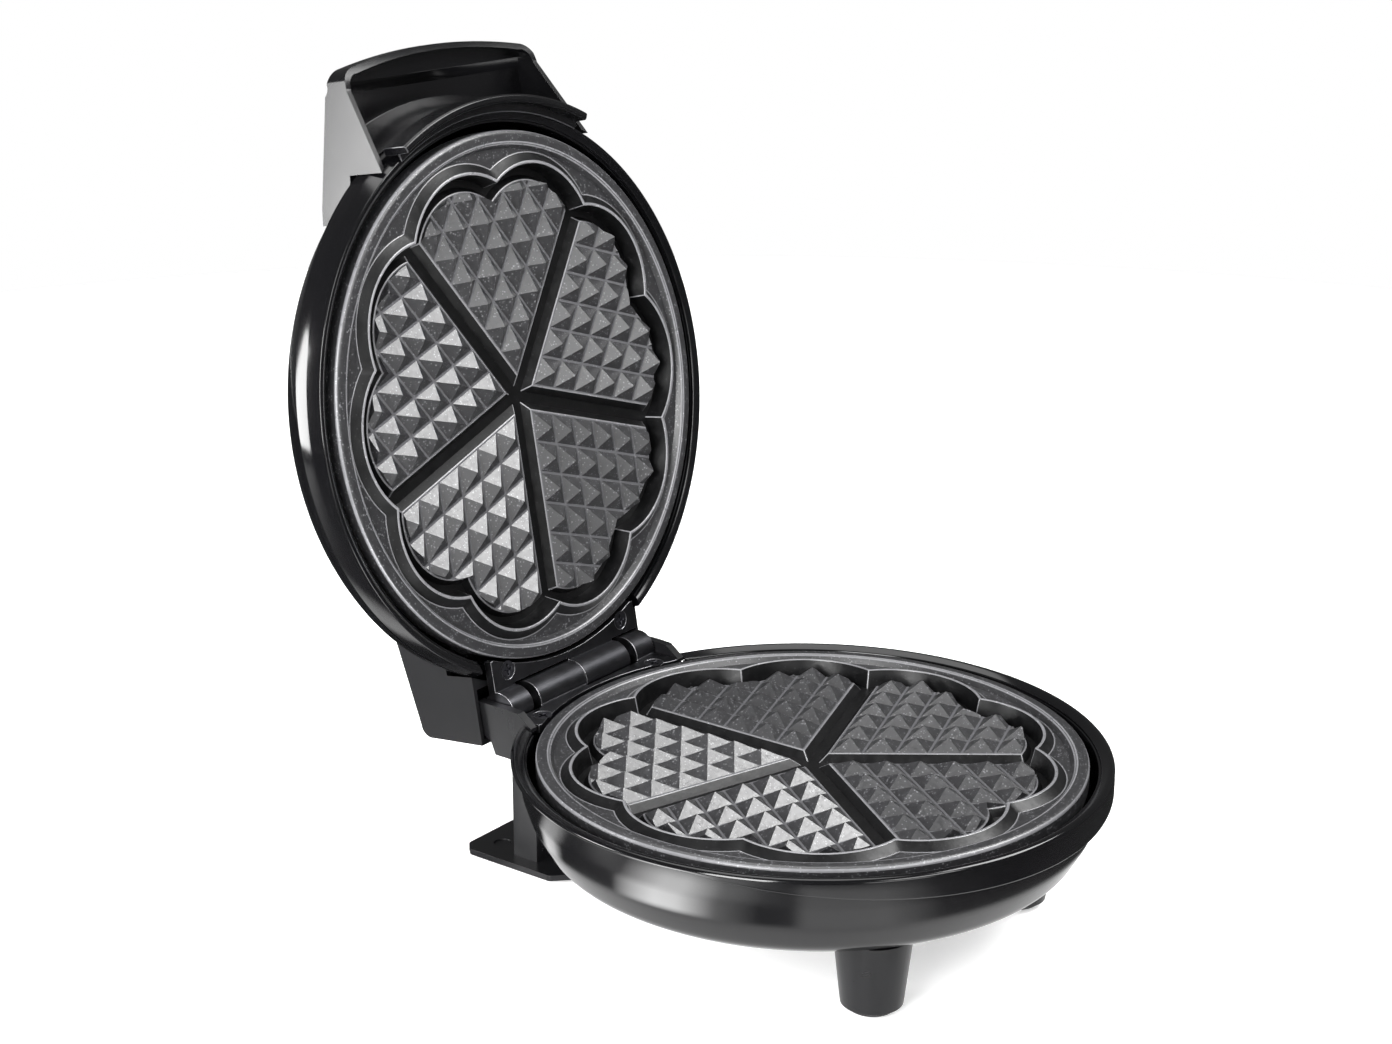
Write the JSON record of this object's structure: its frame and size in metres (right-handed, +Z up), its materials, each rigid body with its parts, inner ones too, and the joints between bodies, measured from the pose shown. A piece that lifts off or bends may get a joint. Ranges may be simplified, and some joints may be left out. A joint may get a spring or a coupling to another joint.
{
  "type": "waffle maker",
  "caption": "Round heart-pattern waffle maker with a hinged lid standing open, scoop handle, finger guard, tapered front feet and a rear post on a flat foot plate.",
  "frame": {"origin": "on the table, under the middle of the open waffle maker's bounding box", "axes": "+Z up, -Y towards the handle side of the base, X along the hinge pin"},
  "size_m": [0.2136, 0.2881, 0.297],
  "materials": {
    "housing_black": "glossy moulded thermoset, near black",
    "grip_black": "glossy moulded plastic, near black",
    "cover_black": "satin moulded plastic, near black",
    "stand_black": "semi-gloss moulded plastic, dark grey black",
    "nonstick_cast": "cast aluminium under a dark speckled non-stick coat",
    "hinge_metal": "die-cast hinge in a dark satin coat",
    "steel": "plated steel",
    "screw_black": "blackened steel screws",
    "element_steel": "annealed steel sheath",
    "reflector_sheet": "bright aluminised sheet",
    "rubber": "matt rubber",
    "ceramic": "off-white steatite",
    "lead_sleeve": "braided glass sleeve",
    "lens_red": "clear red lens",
    "lens_green": "clear green lens"
  },
  "bodies": {
    "base": {"base_bowl": "housing_black", "base_flange_ring": "housing_black", "lower_baking_plate": "nonstick_cast", "lower_heating_element": "element_steel", "lower_reflector": "reflector_sheet", "lower_plate_screws": "steel", "thermostat": "ceramic", "terminal_block": "ceramic", "element_leads": "lead_sleeve", "thermostat_leads": "lead_sleeve", "base_hinge_leaf": "hinge_metal", "base_hinge_screws": "screw_black", "hinge_pin": "steel", "rear_stand": "stand_black", "rear_foot_plate": "stand_black", "rear_plate_screws": "steel", "rear_pad_left": "rubber", "rear_pad_right": "rubber", "front_foot_left": "stand_black", "front_foot_right": "stand_black", "front_pad_left": "rubber", "front_pad_right": "rubber", "front_foot_screws": "steel", "cord_gland": "rubber"},
    "lid": {"lid_cover": "housing_black", "lid_flange_ring": "housing_black", "upper_baking_plate": "nonstick_cast", "upper_heating_element": "element_steel", "upper_reflector": "reflector_sheet", "upper_plate_studs": "steel", "thermal_fuse": "steel", "fuse_clamp": "reflector_sheet", "lid_hinge_leaf": "hinge_metal", "lid_hinge_screws": "screw_black", "hinge_cover": "cover_black", "handle_grip": "grip_black", "finger_guard": "grip_black", "lamp_lens_red": "lens_red", "lamp_lens_green": "lens_green"}
  },
  "joints": [
    {"name": "lid_hinge", "type": "hinge", "parent": "base", "child": "lid", "pos_m": [0, 0.07274, 0.0625], "axis": [1, 0, 0], "range_deg": [0, 99.5]}
  ]
}
